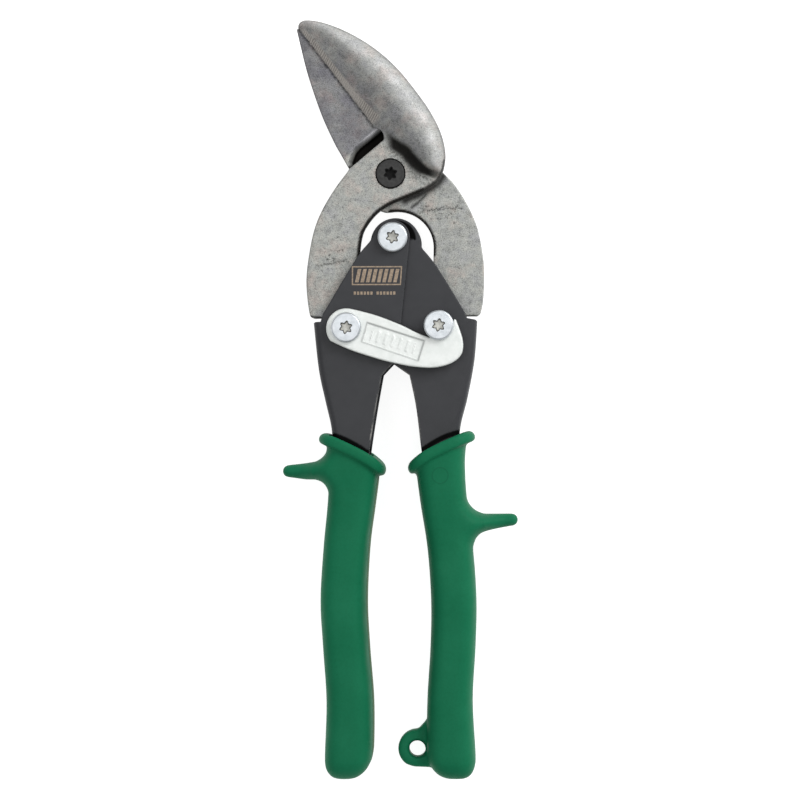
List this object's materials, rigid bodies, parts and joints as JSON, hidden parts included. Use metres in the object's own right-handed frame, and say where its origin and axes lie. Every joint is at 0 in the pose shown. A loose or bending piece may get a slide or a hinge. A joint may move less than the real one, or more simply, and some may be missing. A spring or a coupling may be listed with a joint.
{
  "type": "aviation snips",
  "caption": "Offset right-cut aviation snips for sheet metal, with compound-leverage handles, a latch, a return spring and moulded grips.",
  "frame": {"origin": "centre of the blade pivot screw's end face, in the plane that the tool lies on", "axes": "+Z along every pivot axis, out of the face with the latch; +Y towards the blade tips; +X towards the grip with the lanyard loop"},
  "size_m": [0.0749, 0.2408, 0.0239],
  "materials": {
    "blade_steel": "forged, tumbled and ground",
    "handle_paint": "dark grey satin coat",
    "zinc": "bright zinc plate",
    "latch_zinc": "pale zinc plate",
    "black_oxide": "black oxide",
    "spring_steel": "oiled spring steel",
    "grip_green": "satin green vinyl"
  },
  "bodies": {
    "left_handle": {"left_handle": "handle_paint", "left_grip": "grip_green", "handle_pivot_screw": "zinc", "handle_pivot_nut": "zinc", "handle_pivot_bush": "zinc", "torsion_spring": "spring_steel", "left_link_screw": "zinc", "left_link_nut": "zinc", "left_link_bush": "zinc", "latch_washer": "spring_steel"},
    "right_handle": {"right_handle": "handle_paint", "right_grip": "grip_green", "right_link_screw": "zinc", "right_link_nut": "zinc", "right_link_bush": "zinc"},
    "front_blade": {"front_blade": "blade_steel", "blade_pivot_screw": "black_oxide", "blade_pivot_nut": "black_oxide", "blade_pivot_washer": "zinc"},
    "rear_blade": {"rear_blade": "blade_steel"},
    "latch": {"latch": "latch_zinc"}
  },
  "joints": [
    {"name": "handle_pivot", "type": "hinge", "parent": "left_handle", "child": "right_handle", "pos_m": [0.0009, -0.0204, 0.011], "axis": [0, 0, 1], "range_deg": [0, 28], "deforming": ["torsion_spring"]},
    {"name": "left_link_pivot", "type": "hinge", "parent": "left_handle", "child": "front_blade", "pos_m": [-0.0136, -0.0489, 0.011], "axis": [0, 0, 1], "range_deg": [0, 6.2]},
    {"name": "right_link_pivot", "type": "hinge", "parent": "right_handle", "child": "rear_blade", "pos_m": [0.0155, -0.0482, 0.011], "axis": [0, 0, 1], "range_deg": [-7, 0]},
    {"name": "latch_pivot", "type": "hinge", "parent": "left_handle", "child": "latch", "pos_m": [-0.0136, -0.0489, 0.0204], "axis": [0, 0, 1], "range_deg": [-49, 0]}
  ],
  "couplings": [
    {"joint": "left_link_pivot", "follows": "handle_pivot", "ratio": 0.208},
    {"joint": "right_link_pivot", "follows": "handle_pivot", "ratio": -0.2365},
    {"joint": "latch_pivot", "follows": "handle_pivot", "ratio": -1.7}
  ]
}
